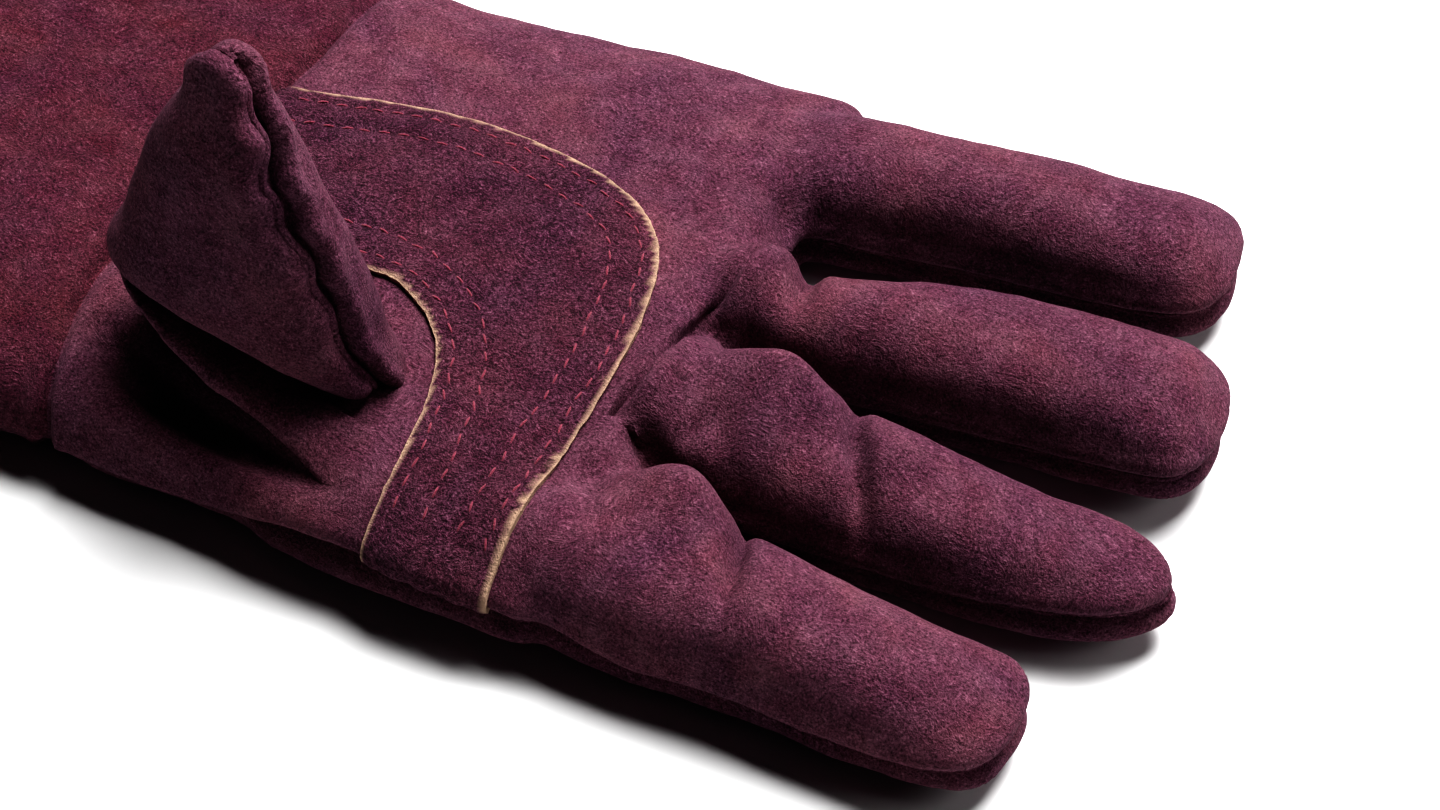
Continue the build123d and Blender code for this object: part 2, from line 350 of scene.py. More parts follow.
TIP_LENGTH = {"index": 12.0, "middle": 17.0, "ring": 12.0, "little": 10.0}
TIP_FULLNESS = {"index": 2.9, "middle": 2.3, "ring": 2.7, "little": 2.9}


def finger_line(name):
    """(root, unit vector along, unit vector across, length) of a finger, in plan."""
    joint = JOINTS[f"{name}_curl"]
    root = glove_mm(joint["pos_m"])[:2]
    along = np.array([-joint["axis"][1], joint["axis"][0]])
    reach = box_mm(f"{name}_front")[1][0]
    return root, along, np.array([-along[1], along[0]]), (reach - root[0]) / along[0]


def finger_ring(name, place, across, up):
    """A ring of a finger, from its place along the finger and its points across and up."""
    root, along, aside, _ = finger_line(name)
    flat = np.outer(np.full(len(across), place), along) + np.outer(across, aside) + root
    return np.column_stack([flat, up])


def finger_tube(name, seam):
    """The outside of a finger, whose seam rises a little to the tip."""
    length = finger_line(name)[3]
    tip, full = TIP_LENGTH[name], TIP_FULLNESS[name]
    body = np.linspace(FINGER_SHAPES[name][0][0] * length, length - tip, 26)
    end = length - tip + tip * np.sin(np.linspace(0, 1, 12)[1:] * math.pi / 2 * 0.985)
    rings = []
    for s in np.concatenate([body, end]):
        side, half, top, low = between(FINGER_SHAPES[name], s / length)
        closing = max(0.0, (s - (length - tip)) / tip)
        k = (1 - closing**full) ** (1 / full)
        mid = seam + 1.5 * ease(0.6, 1.0, s / length)
        a, z = section(side, max(half * k, 0.8), mid + (top - mid) * k, mid, mid - (mid - low) * k,
                       under=0.965)
        rings.append(finger_ring(name, s, a, z))
    return tube(name, rings)


# Palm and cuff: (place from the wrist seam, near edge, far edge, top).
HAND_ROWS = [(-133, -91, 86, 36), (-100, -87, 81.5, 35.5), (-60, -81.5, 75, 33.5), (-25, -76.5, 69.5, 31),
             (-8, -74.0, 67, 29.5), (0, -73.0, 66, 27.5), (12, -73.2, 66.5, 27.5), (45, -74.0, 68.5, 27.5),
             (80, -75.5, 71.5, 27), (112, -76.5, 74.5, 25.5)]


def hand_tube(seam):
    """The outside of the hand and cuff, which narrows inside the fingers' roots."""
    rings = []
    straight, end = np.linspace(-136, 108, 123), [110, 112, 113.5, 114.6, 115.2]
    for x in np.concatenate([straight, end]):
        near, far, top = between(HAND_ROWS, np.clip(x, -133, 112))
        k = 1 - ease(108, 116.5, x) * 0.45
        half = (far - near) / 2 * (1 - (1 - k) * 0.12)
        a, z = section((near + far) / 2, half, seam + (top - seam) * k, seam, seam - seam * k, 3.4, 3.6, 120)
        rings.append(np.column_stack([np.full(len(a), x), a, z]))
    return tube("hand", rings)


def glove_shell(sizes):
    """The outer surface of hand, fingers and cuff, before its folds: (vertices, triangles)."""
    parts = [hand_tube(sizes.seam_height)] + [finger_tube(n, sizes.seam_height) for n in FINGER_NAMES]
    bpy.ops.object.select_all(action="DESELECT")
    for part in parts:
        part.select_set(True)
    bpy.context.view_layer.objects.active = parts[0]
    bpy.ops.object.join()
    return melt(parts[0], sizes.cell, 9)


# ---- folds -------------------------------------------------------------------------------------------
def on_top(verts, seam):
    """1 on the palm side, 0 on the back, fading over the side seam."""
    return ease(seam - 1, seam + 7, verts[:, 2])


def swell(verts, centre, radii, turn, rise, push=(0.0, 0.0)):
    """How far a soft hump of the palm side moves each point."""
    a = math.radians(turn)
    dx, dy = verts[:, 0] - centre[0], verts[:, 1] - centre[1]
    u, v = dx * math.cos(a) + dy * math.sin(a), dy * math.cos(a) - dx * math.sin(a)
    w = np.exp(-((u / radii[0]) ** 2) - ((v / radii[1]) ** 2))
    return w[:, None] * np.array([push[0], push[1], rise])


def crease(verts, points, width, depth):
    """How far a creased line draws each point down, fading at both its ends."""
    d, along = line_distance(verts[:, :2], smooth_line(points, 2.0))
    fade = np.sin(np.clip(along, 0.02, 0.98) * math.pi) ** 0.5
    return np.column_stack([np.zeros((len(verts), 2)), -depth * bell(d, width) * fade])


def fold_hand(verts, sizes):
    """Humps and creases of worn leather on the palm side."""
    top = on_top(verts, sizes.seam_height)[:, None]
    moved = np.zeros_like(verts)
    for args in HUMPS:
        moved += swell(verts, *args)
    for args in CREASES:
        moved += crease(verts, *args)
    return verts + moved * top


HUMPS = [
    # index finger's base, folded up beside the middle finger
    ((126, -46), (11, 7), -24, 6.5, (2.0, 3.8)),
    ((118, -62), (12, 10), 0, 1.6),
    ((151, -62), (9, 12), 0, 2.0),
    ((176, -66), (14, 9), 0, 1.0),
    # middle finger's base, a larger hump, and the lip beyond its crease
    ((132, -16), (12, 7.5), -10, 7.0, (2.5, 3.4)),
    ((158, -22), (5, 11), -35, 2.2),
    ((113, -22), (5, 8), 0, 1.6),
    ((136, -28), (9, 6), -20, 1.6),
    # ring finger's base
    ((116, 11), (6, 8), 10, 3.0, (1.0, 1.0)),
    ((142, 14), (12, 9), 5, 1.6),
    # little finger, wrist side of the palm
    ((150, 56), (24, 12), 8, 1.2),
    ((60, 45), (22, 14), 10, 1.2),
]
CREASES = [
    ([(134, -36), (139, -44), (143, -54), (146, -66)], 2.2, 5.5),
    ([(111, -32), (119, -37), (129, -40)], 2.6, 7.5),
    ([(104, -42), (111, -50), (116, -62)], 3.2, 1.4),
    ([(146, -6), (149, -15), (154, -25), (161, -37)], 2.2, 5.5),
    ([(112, -4), (119, -1), (128, -4)], 2.4, 6.0),
    ([(120, -33), (126, -27), (131, -33)], 3.0, 2.0),
    ([(121, 27), (125, 18), (127, 6)], 2.4, 5.0),
    ([(109, 36), (117, 31), (124, 32)], 3.0, 4.0),
    ([(96, 40), (104, 52), (106, 66)], 7.0, 1.0),
    ([(132, 36), (134, 52), (132, 66)], 6.0, 1.0),
    # the palm's heel sinks under the thumb's fold
    ([(6, -54), (18, -60), (32, -64), (48, -66), (60, -67.5), (66, -68)], 3.6, 6.0),
]


def uneven(places):
    """Smooth noise at each place."""
    return np.array([noise.noise(p) for p in places.tolist()])


def ripple(verts, tris, rows, seed):
    """Small unevenness of worn leather: rows of (wavelength, height)."""
    rise = np.zeros(len(verts))
    for length, height in rows:
        rise += height * uneven(verts / length + seed)
    return verts + normals(verts, tris) * rise[:, None]


# How much the thumb side's seam rises at places from the wrist seam: it rolls under the palm's heel.
NEAR_SEAM = [(-60, 0), (-30, -0.6), (-5, -2.6), (25, -3.4), (45, -1.6), (62, 1.2), (95, 1.4), (130, 0)]


def seam_line(verts, sizes):
    """Height of the side seam at each point: it rises a little at the fingertips."""
    rise = 3.5 * ease(KNUCKLE_X + 35, KNUCKLE_X + 75, verts[:, 0])
    fingers = 2.0 * ease(KNUCKLE_X - 12, KNUCKLE_X + 8, verts[:, 0])
    near = between(NEAR_SEAM, np.clip(verts[:, 0], -60, 130))[0] * (verts[:, 1] < 0)
    return sizes.seam_height + rise - fingers + near + 0.5 * np.sin(verts[:, 0] / 11.0)


def draw_in(verts, tris, gap, depth, width):
    """Pulls the hide in along a line where gap is zero, with a puffed lip on each side of it."""
    lip = 0.28 * depth * bell(np.abs(gap) - 2.1 * width, 1.1 * width)
    return verts + normals(verts, tris) * (lip - depth * bell(gap, width))[:, None]


# ---- materials ---------------------------------------------------------------------------------------
def node(tree, kind, values=(), **settings):
    """Adds a shader node with these settings, and values in its sockets."""
    made = tree.nodes.new(kind)
    for key, value in settings.items():
        setattr(made, key, value)
    for key, value in dict(values).items():
        made.inputs[key].default_value = value
    return made


def link(tree, source, target):
    tree.links.new(source, target)


def suede_group():
    """Napped split leather: colour and height from fibres, mottling and pits."""
    group = bpy.data.node_groups.new("split_suede", "ShaderNodeTree")
    face = group.interface
    face.new_socket("Tone", in_out="INPUT", socket_type="NodeSocketColor")
    for name, value in (("Nap", 1.0), ("Mottle", 1.0), ("Flecks", 1.0)):
        face.new_socket(name, in_out="INPUT", socket_type="NodeSocketFloat").default_value = value
    face.new_socket("Colour", in_out="OUTPUT", socket_type="NodeSocketColor")
    face.new_socket("Height", in_out="OUTPUT", socket_type="NodeSocketFloat")
    inp, out = group.nodes.new("NodeGroupInput"), group.nodes.new("NodeGroupOutput")
    place = node(group, "ShaderNodeTexCoord").outputs["Object"]

    def cloud(scale, detail, rough, vector=place, warp=0.0):
        made = node(group, "ShaderNodeTexNoise",
                    {"Scale": scale, "Detail": detail, "Roughness": rough, "Distortion": warp})
        link(group, vector, made.inputs["Vector"])
        return made

    def maths(operation, a, b, clamp=False):
        made = node(group, "ShaderNodeMath", operation=operation, use_clamp=clamp)
        for socket, value in zip(made.inputs, (a, b)):
            if isinstance(value, (int, float)):
                socket.default_value = value
            else:
                link(group, value, socket)
        return made.outputs[0]

    def ramp(value, low, high, to_low=0.0, to_high=1.0):
        made = node(group, "ShaderNodeMapRange",
                    {"From Min": low, "From Max": high, "To Min": to_low, "To Max": to_high})
        link(group, value, made.inputs["Value"])
        return made.outputs["Result"]

    drift = cloud(70, 2, 0.5)
    bent = node(group, "ShaderNodeVectorMath", operation="MULTIPLY_ADD")
    link(group, drift.outputs["Color"], bent.inputs[0])
    bent.inputs[1].default_value = (0.012,) * 3
    link(group, place, bent.inputs[2])
    lay = node(group, "ShaderNodeMapping", {"Rotation": (0.2, 0.1, 0.7), "Scale": (1.0, 1.5, 1.2)})
    link(group, bent.outputs[0], lay.inputs["Vector"])
    fibres = cloud(1000, 3, 0.8, lay.outputs[0]).outputs["Fac"]
    fine = cloud(2300, 2, 0.8).outputs["Fac"]
    blotch = cloud(38, 3, 0.6, warp=0.4).outputs["Fac"]
    smudge = cloud(150, 3, 0.65).outputs["Fac"]
    nap = maths("MULTIPLY", maths("SUBTRACT", fibres, 0.5), inp.outputs["Nap"])
    grit = maths("MULTIPLY", maths("SUBTRACT", fine, 0.5), inp.outputs["Nap"])
    tufts = ramp(maths("ADD", maths("MULTIPLY", fibres, 0.55), maths("MULTIPLY", fine, 0.45)), 0.565, 0.66)
    pits = ramp(fine, 0.44, 0.34)

    value = maths("ADD", maths("MULTIPLY", nap, 2.2), maths("MULTIPLY", grit, 2.3))
    shade = maths("MULTIPLY", maths("ADD", maths("MULTIPLY", maths("SUBTRACT", blotch, 0.5), 0.7),
                                    maths("MULTIPLY", maths("SUBTRACT", smudge, 0.5), 0.7)),
                  inp.outputs["Mottle"])
    bright = maths("ADD", maths("ADD", value, shade), 1.0)
    toned = node(group, "ShaderNodeHueSaturation")
    link(group, inp.outputs["Tone"], toned.inputs["Color"])
    link(group, maths("MAXIMUM", bright, 0.25), toned.inputs["Value"])
    link(group, ramp(blotch, 0.3, 0.7, 0.483, 0.517), toned.inputs["Hue"])
    link(group, ramp(smudge, 0.3, 0.7, 1.08, 0.92), toned.inputs["Saturation"])
    fleck = node(group, "ShaderNodeMix", data_type="RGBA")
    link(group, maths("MULTIPLY", tufts, maths("MULTIPLY", inp.outputs["Flecks"], 0.42), True),
         fleck.inputs["Factor"])
    link(group, toned.outputs[0], fleck.inputs["A"])
    fleck.inputs["B"].default_value = (0.35, 0.20, 0.24, 1)
    deep = node(group, "ShaderNodeMix", data_type="RGBA")
    link(group, maths("MULTIPLY", pits, 0.55, True), deep.inputs["Factor"])
    link(group, fleck.outputs["Result"], deep.inputs["A"])
    deep.inputs["B"].default_value = (0.022, 0.004, 0.010, 1)
    link(group, deep.outputs["Result"], out.inputs["Colour"])
    link(group, maths("ADD", maths("ADD", nap, maths("MULTIPLY", grit, 0.6)), maths("MULTIPLY", smudge, 0.5)),
         out.inputs["Height"])
    return group


def shader(name, roughness, sheen=0.0, sheen_tint=(1, 1, 1)):
    """A dull, matt material: (material, its tree, its shader)."""
    made = bpy.data.materials.new(name)
    made.use_nodes = True
    bsdf = made.node_tree.nodes["Principled BSDF"]
    bsdf.inputs["Roughness"].default_value = roughness
    bsdf.inputs["Specular IOR Level"].default_value = 0.2
    bsdf.inputs["Sheen Weight"].default_value = sheen
    bsdf.inputs["Sheen Roughness"].default_value = 0.5
    bsdf.inputs["Sheen Tint"].default_value = (*sheen_tint, 1)
    return made, made.node_tree, bsdf


def bump(tree, bsdf, height, strength, distance):
    """Lets a height roughen the surface."""
    made = node(tree, "ShaderNodeBump", {"Strength": strength, "Distance": distance})
    link(tree, height, made.inputs["Height"])
    link(tree, made.outputs[0], bsdf.inputs["Normal"])


def hide_material(name, colour, nap, mottle, flecks, depth, sheen=0.07, edge=None):
    """A napped hide. edge is the colour of a raw cut, shown where the cut attribute says."""
    _, tree, bsdf = shader(name, 0.92, sheen, (0.80, 0.42, 0.60))
    suede = node(tree, "ShaderNodeGroup", node_tree=bpy.data.node_groups["split_suede"])
    suede.inputs["Tone"].default_value = (*colour, 1)
    for key, value in (("Nap", nap), ("Mottle", mottle), ("Flecks", flecks)):
        suede.inputs[key].default_value = value
    colour_out = suede.outputs["Colour"]
    if edge:
        mark = node(tree, "ShaderNodeAttribute", attribute_name="cut")
        mix = node(tree, "ShaderNodeMix", data_type="RGBA")
        link(tree, mark.outputs["Fac"], mix.inputs["Factor"])
        link(tree, colour_out, mix.inputs["A"])
        mix.inputs["B"].default_value = (*edge, 1)
        colour_out = mix.outputs["Result"]
    link(tree, colour_out, bsdf.inputs["Base Color"])
    bump(tree, bsdf, suede.outputs["Height"], 0.75, depth)


def fibre_material(name, colour, scale, sheen):
    """Thread or fleece: a plain dyed fibre with a fine lay."""
    _, tree, bsdf = shader(name, 0.95, sheen, (1, 0.95, 0.9))
    place = node(tree, "ShaderNodeTexCoord").outputs["Object"]
    lay = node(tree, "ShaderNodeTexNoise", {"Scale": scale, "Detail": 4, "Roughness": 0.7})
    link(tree, place, lay.inputs["Vector"])
    colours = node(tree, "ShaderNodeValToRGB")
    colours.color_ramp.elements[0].position = 0.3
    colours.color_ramp.elements[1].position = 0.7
    colours.color_ramp.elements[0].color = (*(c * 0.6 for c in colour), 1)
    colours.color_ramp.elements[1].color = (*(min(1, c * 1.25) for c in colour), 1)
    link(tree, lay.outputs["Fac"], colours.inputs["Fac"])
    link(tree, colours.outputs[0], bsdf.inputs["Base Color"])
    bump(tree, bsdf, lay.outputs["Fac"], 0.8, 0.0006)


def make_materials(colours):
    """Makes the leathers, the thread and the fleece."""
    suede_group()
    hide_material("palm_suede", colours.palm, 1.1, 1.3, 0.9, 0.0008)
    hide_material("cuff_suede", colours.cuff, 1.35, 1.1, 0.8, 0.0011, 0.06)
    hide_material("patch_suede", colours.patch, 1.9, 1.5, 1.1, 0.0016, 0.07, colours.raw_edge)
    fibre_material("sewing_thread", colours.thread, 2600, 0.2)
    fibre_material("lining_fleece", colours.lining, 420, 0.5)


# ---- pieces ------------------------------------------------------------------------------------------
WORK = {}       # the shell and the cut hides, which later pieces follow


def dress(obj, material):
    """Gives an object its one material."""
    obj.data.materials.clear()
    obj.data.materials.append(bpy.data.materials[material])


def thicken(obj, thickness, material):
    """Gives a sheet its thickness inwards, smooth on its faces and sharp at its cut edges."""
    finish_with(obj, "SOLIDIFY", thickness=thickness / 1000, offset=-1, use_rim=True)
    only(obj)
    bpy.ops.object.shade_smooth_by_angle(angle=math.radians(50))
    dress(obj, material)
    return obj


def smooth_solid(name, verts, faces, material):
    """A smooth closed piece with its faces turned outwards."""
    obj = mesh_object(name, np.array(verts), faces)
    only(obj)
    bpy.ops.object.mode_set(mode="EDIT")
    bpy.ops.mesh.select_all(action="SELECT")
    bpy.ops.mesh.normals_make_consistent(inside=False)
    bpy.ops.object.mode_set(mode="OBJECT")
    bpy.ops.object.shade_smooth()
    dress(obj, material)
    return obj


def bead(name, verts, runs, radius):
    """A strip of leather along ordered runs of points. radius is half its width and half its height."""
    sides, all_verts, faces = 8, [], []
    for run in runs:
        p = verts[run]
        for _ in range(3):
            inner = (p[:-2] + 2 * p[1:-1] + p[2:]) / 4
            p = np.vstack([p[:1], inner, p[-1:]])
        p = p[::2] if len(p) > 12 else p
        t = np.gradient(p, axis=0)
        t /= np.maximum(np.linalg.norm(t, axis=1), 1e-9)[:, None]
        side = np.cross(t, [0, 0, 1])
        side /= np.maximum(np.linalg.norm(side, axis=1), 1e-9)[:, None]
        up = np.cross(side, t)
        base = len(all_verts)
        for k in range(len(p)):
            for i in range(sides):
                a = 2 * math.pi * i / sides
                all_verts.append(p[k] + radius[0] * math.cos(a) * side[k] + radius[1] * math.sin(a) * up[k])
        faces += tube_faces(base, len(p), sides)
    return smooth_solid(name, all_verts, faces, "palm_suede")


def settle(piece, solid, body="hand"):
    """Attaches a finished piece to the hand's body if it belongs to the hand, or else bakes its place into
    its mesh, and hides the plain solid that it stands in for.
    """
    if body == "hand":
        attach(piece, "hand")
    else:
        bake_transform(piece)
    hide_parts(solid)


def wrist_seam_x(y):
    """The wrist seam runs a little askew over the palm."""
    return 2.5 + 5.0 * np.tanh(y / 30.0) + 7.0 * ease(40, 82, -y)


TWO_FINGER_SPAN = (-33, 22)     # from side to side of the seam across the two middle fingers' base


def gunn_seam_x(y):
    """The seam across the two middle fingers' base."""
    return 112.5 + 0.15 * y


def cut_panels(verts, tris, sizes):
    """Cuts the folded shell into named hides: {name: (vertices, triangles)}."""
    panels = {}
    seam = seam_line(verts, sizes)
    for side, sign in (("front", 1), ("back", -1)):
        v, t = clip(verts, tris, sign * (verts[:, 2] - seam))
        wrist = v[:, 0] - (wrist_seam_x(v[:, 1]) if sign > 0 else 0)
        panels[f"cuff_{side}"] = clip(v, t, -wrist)
        v, t = clip(v, t, wrist)
        end = panel_end(v, sign)
        panels[side] = clip(v, t, end - v[:, 0])
        v, t = clip(v, t, v[:, 0] - end)
        for i, name in enumerate(FINGER_NAMES):
            fv, ft = v, t
            if i > 0:
                fv, ft = clip(fv, ft, fv[:, 1] - border(i - 1, fv[:, 0]))
            if i < 3:
                fv, ft = clip(fv, ft, border(i, fv[:, 0]) - fv[:, 1])
            panels[f"{name}_{side}"] = (fv, ft)
    return panels


def panel_end(verts, side):
    """Where the palm's hide ends: at the seam across the two middle fingers, and straight elsewhere."""
    if side < 0:
        return np.full(len(verts), FINGER_START)
    low, high = border(0, KNUCKLE_X), border(2, KNUCKLE_X)
    y = verts[:, 1]
    middle = ease(low - 1.5, low + 0.5, y) * (1 - ease(high - 2.0, high, y))
    return FINGER_START + (gunn_seam_x(y) - FINGER_START) * middle


def border(i, x):
    """Line in plan between finger i and the next one."""
    near, far = finger_line(FINGER_NAMES[i]), finger_line(FINGER_NAMES[i + 1])
    sides = []
    for (root, along, _, _), sign in ((near, 1), (far, -1)):
        half = FINGER_SHAPES[FINGER_NAMES[i] if sign > 0 else FINGER_NAMES[i + 1]][1][2]
        sides.append(root[1] + (x - root[0]) * along[1] / along[0] + sign * half)
    return sum(sides) / 2


class GLOVE_OT_hides(bpy.types.Operator):
    """Shapes the hand, fingers and cuff, folds them, and cuts them into hides"""
    bl_idname = "glove.hides"
    bl_label = "Hides"

    def execute(self, context):
        sizes = context.scene.glove_sizes
        verts, tris = glove_shell(sizes)
        verts = fold_hand(verts, sizes)
        verts = ripple(verts, tris, ((30, 1.3), (9, 0.35), (3.4, 0.12)), 3.7)
        verts = self.draw_seams(verts, tris, sizes)
        panels = cut_panels(verts, tris, sizes)
        WORK.update(shell=(verts, tris), panels=panels)
        slots = {"front": "palm_leather", "back": "back_leather"}
        for side, solid in (("front", "palm_panel"), ("back", "back_panel")):
            self.hide(solid, panels[side], sizes, slots[side])
        base = []
        for side in ("front", "back"):
            v, t = panels[f"cuff_{side}"]
            cuff = clip(v, t, v[:, 0] - CUFF_END)
            self.hide(f"cuff_{side}", cuff, sizes, "cuff_leather", "cuff", "cuff_suede")
            for name in FINGER_NAMES:
                v, t = panels[f"{name}_{side}"]
                if side == "front" and name in ("middle", "ring"):
                    base.append(clip(v, t, BEND_START - v[:, 0]))
                    v, t = clip(v, t, v[:, 0] - BEND_START)
                self.hide(f"{name}_{side}", (v, t), sizes, slots[side], name)
        (v1, t1), (v2, t2) = base
        both = np.vstack([v1, v2]), np.vstack([t1, t2 + len(v1)])
        self.hide("two_finger_base", both, sizes, "palm_leather")
        return {"FINISHED"}

    def draw_seams(self, verts, tris, sizes):
        """Draws the shell in along its seams, and lays it on the resting surface."""
        deeper = bell(verts[:, 0] - 60, 20) * (verts[:, 1] < -40)
        verts = draw_in(verts, tris, verts[:, 2] - seam_line(verts, sizes), sizes.seam_depth + 2.2 * deeper,
                        sizes.seam_width + 0.7 * deeper)
        front = verts[:, 2] > seam_line(verts, sizes)
        wrist_gap = np.where(front, verts[:, 0] - wrist_seam_x(verts[:, 1]), verts[:, 0])
        verts = draw_in(verts, tris, wrist_gap, 2.0, 1.4)
        across = front & (verts[:, 1] > TWO_FINGER_SPAN[0]) & (verts[:, 1] < TWO_FINGER_SPAN[1])
        gunn_gap = np.where(across, verts[:, 0] - gunn_seam_x(verts[:, 1]), 99.0)
        verts = draw_in(verts, tris, gunn_gap, 2.4, 0.95)
        puff = 1.3 * bell(gunn_gap - 3.6, 2.2)
        verts = verts + normals(verts, tris) * puff[:, None]
        verts[:, 2] = np.maximum(verts[:, 2], 0.0)
        return verts

    def hide(self, solid, surface, sizes, slot, body="hand", material="palm_suede"):
        """Makes one cut hide from its outer surface."""
        piece = thicken(mesh_object(f"{solid}_hide", *surface), sizes.leather, material)
        settle(piece, solid, body)


def rim_runs(tris, on):
    """Ordered runs of a mesh's open edges whose both ends are marked in on."""
    edges = np.sort(np.vstack([tris[:, [0, 1]], tris[:, [1, 2]], tris[:, [2, 0]]]), axis=1)
    pairs, times = np.unique(edges, axis=0, return_counts=True)
    open_pairs = pairs[times == 1]
    return chains([tuple(p) for p in open_pairs if on[p[0]] and on[p[1]]])


def seam_welt(name, panel, sizes):
    """The strip sewn between a front hide and a back hide, seen at the bottom of the groove."""
    verts, tris = panel
    on = np.abs(verts[:, 2] - seam_line(verts, sizes)) < 0.3
    inner = verts - normals(verts, tris) * 0.5
    return bead(name, inner, rim_runs(tris, on), (1.5, 0.8))


class GLOVE_OT_welts(bpy.types.Operator):
    """Lays a welt strip in each side seam"""
    bl_idname = "glove.welts"
    bl_label = "Welts"

    def execute(self, context):
        sizes, panels = context.scene.glove_sizes, WORK["panels"]
        settle(seam_welt("side_welt_strips", panels["front"], sizes), "side_welts")
        verts, tris = panels["cuff_front"]
        cuff = clip(verts, tris, verts[:, 0] - CUFF_END - 1)
        settle(seam_welt("cuff_welt_strips", cuff, sizes), "cuff_side_welts", "cuff")
        for name in FINGER_NAMES:
            piece = seam_welt(f"{name}_welt_strip", panels[f"{name}_front"], sizes)
            settle(piece, f"{name}_welt", name)
        return {"FINISHED"}


# ---- palm patch and its thread -----------------------------------------------------------------------
PATCH_ROWS = (3.4, 9.6)     # how far in from the patch's edge its two rows of thread run


def patch_lines():
    """The patch's far and straight edge, and the edge that runs round the thumb to the strap."""
    end, far = PATCH_HIGH[0], PATCH_HIGH[1]
    side = PATCH_LOW[1] - 12
    strap = end - 26.5
    outer = smooth_line([(4.5, far - 7.5), (20, far - 4), (40, far), (58, far + 0.8), (76, far - 2),
                         (89, far - 7.5), (97.5, far - 17), (end - 1.5, far - 31), (end + 0.3, far - 48),
                         (end, far - 72), (end - 0.5, far - 94), (end - 0.8, side)])
    inner = smooth_line([(strap - 0.5, side), (strap - 0.3, -72), (strap - 0.8, -57), (strap - 3.2, -43),
                         (strap - 8.5, -31.5), (strap - 18, -24), (strap - 30, -21.5), (4.5, -21)])
    return outer, inner


def moved_in(line, inset):
    """A line moved towards its right-hand side."""
    t = np.gradient(line, axis=0)
    t /= np.linalg.norm(t, axis=1)[:, None]
    return line + np.column_stack([t[:, 1], -t[:, 0]]) * inset


def stitch_mesh(name, places, length, thick):
    """Stitches of one row of thread. Each place is (middle, along, normal)."""
    sides, verts, faces = 6, [], []
    shape = [(-0.5, 0.25), (-0.36, 0.8), (0.0, 1.0), (0.36, 0.8), (0.5, 0.25)]
    for middle, along, up in places:
        across = np.cross(up, along)
        base = len(verts)
        for at, girth in shape:
            sink = up * thick * (0.15 - 2.2 * at * at)
            for i in range(sides):
                a = 2 * math.pi * i / sides
                verts.append(middle + along * at * length + sink
                             + (across * math.cos(a) + up * math.sin(a)) * girth * thick / 2)
        faces += tube_faces(base, len(shape), sides)
    return smooth_solid(name, verts, faces, "sewing_thread")


def row_places(line, tree, pitch, wander=0.25):
    """Where the stitches of a row lie on the surface under a line in plan."""
    run = np.concatenate([[0], np.cumsum(np.linalg.norm(np.diff(line, axis=0), axis=1))])
    places = []
    random = np.random.default_rng(7)
    for s in np.arange(pitch / 2, run[-1], pitch):
        ends = []
        for at in (s - 1.0, s + 1.0):
            x, y = (np.interp(at, run, line[:, i]) + random.normal(0, wander) for i in range(2))
            ends.append(tree.ray_cast(Vector((x, y, 80)), Vector((0, 0, -1))))
        if ends[0][0] is None or ends[1][0] is None:
            continue
        a, b = (np.array(e[0]) for e in ends)
        if np.linalg.norm(b - a) > 4:
            continue
        places.append(((a + b) / 2, (b - a) / np.linalg.norm(b - a), np.array(ends[0][1])))
    return places


class GLOVE_OT_patch(bpy.types.Operator):
    """Cuts the palm patch, lays it on the palm and sews it down"""
    bl_idname = "glove.patch"
    bl_label = "Palm patch"

    def execute(self, context):
        sizes = context.scene.glove_sizes
        verts, tris = WORK["panels"]["front"]
        outer, inner = patch_lines()
        loop = np.vstack([outer, inner])
        rim = np.vstack([loop, loop[:1]])
        rows = []
        for inset in PATCH_ROWS:
            rows += [moved_in(outer, inset), moved_in(inner, inset)]
        xy = verts[:, :2]
        near, _ = line_distance(xy, rim)
        gap = np.where(inside(xy, loop), near, -near)
        frayed = gap + 0.22 * uneven(verts / 2.4)
        frayed = np.minimum(frayed, verts[:, 2] - sizes.seam_height - 2.5)
        sewn = np.min([line_distance(xy, row)[0] for row in rows], axis=0)
        low = ease(0.0, 2.4, gap) * 0.9 - 0.75 - 0.5 * bell(sewn, 1.3)
        face = verts + normals(verts, tris) * (sizes.patch + 0.1 + low)[:, None]
        v, t = clip(face, tris, frayed)
        piece = thicken(mesh_object("palm_patch_hide", v, t), sizes.patch, "patch_suede")
        place = arrays(piece)[0]
        near, _ = line_distance(place[:, :2], rim)
        torn = 0.55 * uneven(place / 1.1)
        broad = 0.30 * ease(80, 95, place[:, 0]) - 0.1
        mark = piece.data.attributes.new("cut", "FLOAT", "POINT")
        cut = (1 - ease(0.25, 0.70, near + torn - broad)) * ease(6, 10, place[:, 0])
        mark.data.foreach_set("value", cut.astype(np.float32))
        settle(piece, "palm_patch")
        tree = BVHTree.FromPolygons(v.tolist(), t.tolist())
        places = []
        for row in rows:
            clear = row[(row[:, 1] > -70) & (row[:, 0] > 10)]
            places += row_places(clear, tree, sizes.stitch_pitch)
        settle(stitch_mesh("patch_thread", places, sizes.stitch, sizes.thread), "patch_stitching")
        return {"FINISHED"}


# ---- thumb -------------------------------------------------------------------------------------------
# Level of the thumb's own height, lean of that level, left and right edge, near and far face.
THUMB_LEVELS = [(12, -0.10, 14, 66, -46, -34), (20, -0.26, 13, 68, -46, -33), (27, -0.34, 12, 70, -47, -32),
                (32, -0.34, 11, 68, -50, -31.5), (36.5, -0.30, 10.2, 67.5, -56.5, -31),
                (41, -0.24, 9.8, 66.0, -59.0, -32), (47, -0.14, 10.8, 63.8, -58.8, -33),
                (56, -0.04, 14.0, 61.2, -57.5, -34.5), (68, 0, 18.4, 58.8, -56, -36),
                (80, 0, 24.4, 55.0, -54.0, -37), (90, 0, 31.0, 50.0, -51.0, -37.5),
                (100, 0, 35.5, 45.8, -48, -38)]
THUMB_DOME = 11     # height of the rounded tip


